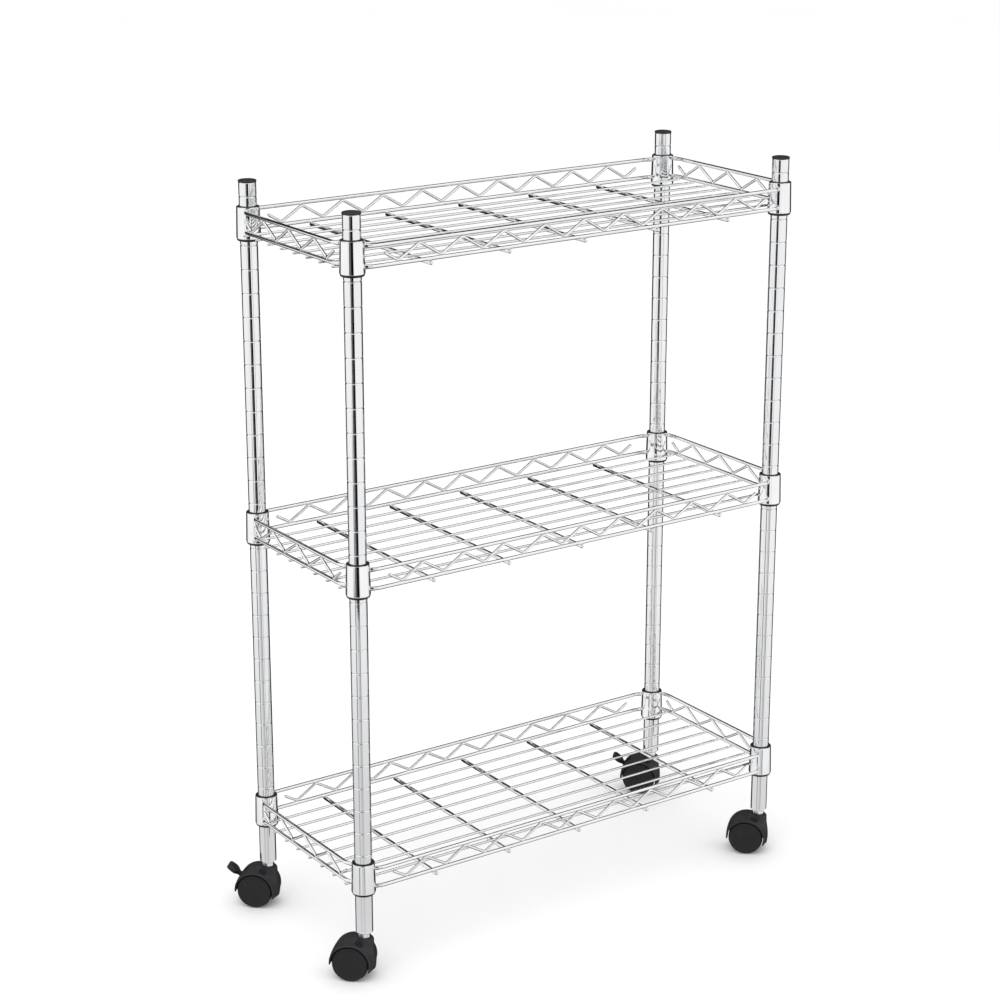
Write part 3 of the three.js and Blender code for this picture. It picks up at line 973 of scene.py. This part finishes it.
def caster_pieces(corner):
    """One caster: hood and web, stem and axle, two wheels and, at the back, the brake pedal."""
    swivel = Matrix.Translation((POST[corner].x, POST[corner].y, 0))
    heading = swivel @ Matrix.Rotation(math.radians(CASTER_HEADING), 4, "Z")
    caster = f"caster_{corner}"
    braked = corner in BRAKED
    cutters = [Shape().join(cutter, heading) for cutter in ([SOCKET, SLOT] if braked else [SOCKET])]
    hood_finish = HOOD, caster, "hood_plastic", [f"caster_hood_{corner}"], heading
    cut(piece(f"hood_cover_{corner}", HOOD_FORM, *hood_finish), *cutters)
    cut(piece(f"hood_web_{corner}", web_shape(), *hood_finish, bevel=0.8), *cutters)
    steel = "caster_steel"
    stem, node = stem_shape(), f"caster_stem_{corner}"
    piece(f"stem_{corner}", stem, ZINC, "rack", steel, [node], swivel, 20)
    piece(f"axle_{corner}", axle_shape(), ZINC, caster, steel, [f"caster_axle_{corner}"], heading)
    for side, turn in (("near", 1), ("far", -1)):
        name, body = f"wheel_disc_{corner}_{side}", f"wheel_{corner}_{side}"
        node = f"caster_wheel_{corner}_{side}"
        piece(name, wheel_shape(turn), WHEEL, body, "wheel_plastic", [node], heading, 30)
    if braked:
        body, node = f"brake_{corner}", f"brake_pedal_{corner}"
        piece(f"pedal_{corner}", pedal_shape(), BLACK, body, "black_plastic", [node], heading)
        piece(f"pedal_pin_{corner}", pin_shape(), ZINC, body, steel, [node], heading)


for corner in CORNERS:
    caster_pieces(corner)

# ------------------------------------------------------------------ studio

# From here on, lengths are in metres.
FLOOR_SIZE = 16.0
CARD_DISTANCE = 1.1
CARD_HEIGHT = 2.0
# angles in radians
VIEW_YAW = 0.6024
VIEW_PITCH = 0.3097
VIEW_FROM = Vector((-1.4771, -2.1355, 1.2838))
LENS = 89.4
TO_VIEWER = Vector((-math.sin(VIEW_YAW), -math.cos(VIEW_YAW), 0))
TO_RIGHT = Vector((math.cos(VIEW_YAW), -math.sin(VIEW_YAW), 0))
WALL_TILT = 8.0
WORLD_STRENGTH = 1.15


def stage_sheet(name, corners, tones, scale, rough, specular):
    """A flat sheet of the studio, faintly mottled between two tones."""
    material, nodes, coords = new_material(name)
    colour = nodes.ramp(noise(nodes, coords, scale), [(0.3, tones[0]), (0.7, tones[1])])
    surface(nodes, {"Base Color": colour, "Roughness": rough, "Specular IOR Level": specular})
    mesh = bpy.data.meshes.new(name)
    mesh.from_pydata(corners, [], [(0, 1, 2, 3)])
    mesh.materials.append(material)
    sheet = bpy.data.objects.new(name, mesh)
    bpy.context.scene.collection.objects.link(sheet)
    return sheet


def studio_floor():
    half = FLOOR_SIZE / 2
    corners = [(-half, -half, 0), (half, -half, 0), (half, half, 0), (-half, half, 0)]
    tones = (0.87, 0.87, 0.875), (0.885, 0.885, 0.885)
    floor = stage_sheet("studio_floor", corners, tones, 2.0, 0.9, 0.1)
    floor.visible_glossy = False


def dark_card(name, left, right, tone):
    """A dark card in front of the rack, seen only in the chrome. left and right are in metres."""
    foot = POST["front_left"] * MM
    foot.z = 0
    foot += TO_VIEWER * CARD_DISTANCE
    low, high = foot + TO_RIGHT * left, foot + TO_RIGHT * right
    top = Vector((0, 0, CARD_HEIGHT))
    card = stage_sheet(name, [low, high, high + top, low + top], (tone * 0.8, tone), 5.0, 0.95, 0.0)
    card.visible_camera = False
    card.visible_diffuse = False
    card.visible_shadow = False


# What polished metal sees around it. Heights run from 0, straight down, over 0.5, level, to 1,
# straight up. Bearings are in degrees to the right of the camera.
ROOM_BY_HEIGHT = (
    (0.0, 0.12),
    (0.12, 0.12),
    (0.15, 0.8),
    (0.255, 0.88),
    (0.275, 0.7),
    (0.295, 0.77),
    (0.318, 0.93),
    (0.34, 0.98),
    (0.43, 0.98),
    (0.5, 0.8),
    (0.56, 0.92),
    (0.7, 1.0),
)
STANDS_BY_BEARING = (
    (-180, 0.8),
    (-112, 0.8),
    (-100, 1.0),
    (-60, 1.0),
    (-40, 1.0),
    (-38, 0.1),
    (-29, 0.1),
    (-27, 1.0),
    (-13, 0.95),
    (-8, 0.62),
    (8, 0.68),
    (12, 0.25),
    (18, 0.25),
    (21, 1.0),
    (100, 1.0),
    (112, 0.8),
    (180, 0.8),
)
STANDS_BY_HEIGHT = ((0.275, 0.25), (0.31, 0.9), (0.345, 1.0), (0.37, 0.15), (0.5, 0.0))
BOOM_BY_BEARING = ((-18, 0), (-14, 1), (38, 1), (42, 0))
BOOM_BY_HEIGHT = ((0.66, 0.0), (0.69, 0.9), (0.84, 0.9), (0.87, 0.0))


def studio_world():
    """White all round. Polished metal sees the same room with its dark back wall and its stands."""
    world = bpy.data.worlds.new("studio")
    bpy.context.scene.world = world
    world.use_nodes = True
    nodes = Nodes(world.node_tree)
    direction = nodes.new("ShaderNodeTexCoord").outputs["Generated"]

    def share(axis):
        inputs = {0: direction, 1: axis}
        return nodes.new("ShaderNodeVectorMath", operation="DOT_PRODUCT", inputs=inputs).outputs["Value"]

    def to_unit(value, scale):
        inputs = {0: value, 1: scale, 2: 0.5}
        return nodes.new("ShaderNodeMath", operation="MULTIPLY_ADD", inputs=inputs).outputs[0]

    def by_bearing(stops):
        return nodes.ramp(bearing, [(0.5 + degrees / 360, value) for degrees, value in stops])

    def times(a, b):
        return nodes.math("MULTIPLY", a, b)

    def without(a):
        return nodes.math("SUBTRACT", 1.0, a)

    tilt = math.radians(WALL_TILT)
    back = -TO_VIEWER * math.cos(tilt)
    back.z = math.sin(tilt)
    wall = nodes.ramp(share(back), [(0.4, 0.0), (0.44, 0.97)])
    height = to_unit(share(Vector((0, 0, 1))), 0.5)
    bearing = nodes.math("ARCTAN2", share(TO_RIGHT), share(TO_VIEWER))
    bearing = to_unit(bearing, 1 / (2 * math.pi))
    room = nodes.ramp(height, ROOM_BY_HEIGHT)
    stands = times(nodes.ramp(height, STANDS_BY_HEIGHT), without(by_bearing(STANDS_BY_BEARING)))
    boom = times(by_bearing(BOOM_BY_BEARING), nodes.ramp(height, BOOM_BY_HEIGHT))
    seen = times(times(times(room, without(stands)), without(wall)), without(boom))
    glossy = nodes.new("ShaderNodeLightPath").outputs["Is Glossy Ray"]
    inputs = {0: glossy, 2: WORLD_STRENGTH, 3: seen}
    strength = nodes.new("ShaderNodeMix", data_type="FLOAT", inputs=inputs).outputs[0]
    inputs = {"Color": (1, 1, 1, 1), "Strength": strength}
    light = nodes.new("ShaderNodeBackground", inputs=inputs)
    out = nodes.new("ShaderNodeOutputWorld")
    nodes.tree.links.new(light.outputs[0], out.inputs["Surface"])


def softbox(name, place, aim, size, watts):
    data = bpy.data.lights.new(name, "AREA")
    data.shape = "RECTANGLE"
    data.size, data.size_y = size
    data.energy = watts
    light = bpy.data.objects.new(name, data)
    light.location = place
    light.rotation_euler = (Vector(aim) - Vector(place)).to_track_quat("-Z", "Y").to_euler()
    light.visible_glossy = False
    light.visible_camera = False
    bpy.context.scene.collection.objects.link(light)


def camera():
    data = bpy.data.cameras.new("camera")
    data.sensor_width = 36.0
    data.lens = LENS
    data.clip_end = 60.0
    view = bpy.data.objects.new("camera", data)
    view.location = VIEW_FROM
    view.rotation_euler = (math.pi / 2 - VIEW_PITCH, 0, -VIEW_YAW)
    bpy.context.scene.collection.objects.link(view)
    bpy.context.scene.camera = view


studio_floor()
dark_card("grey_card", -0.5, -0.13, 0.12)
dark_card("black_card", -0.13, 0.3, 0.006)
studio_world()
softbox("key", (-1.6, -1.2, 3.0), (0, 0, 0.3), (2.4, 2.4), 30)
camera()
bpy.context.scene.view_settings.view_transform = "Standard"
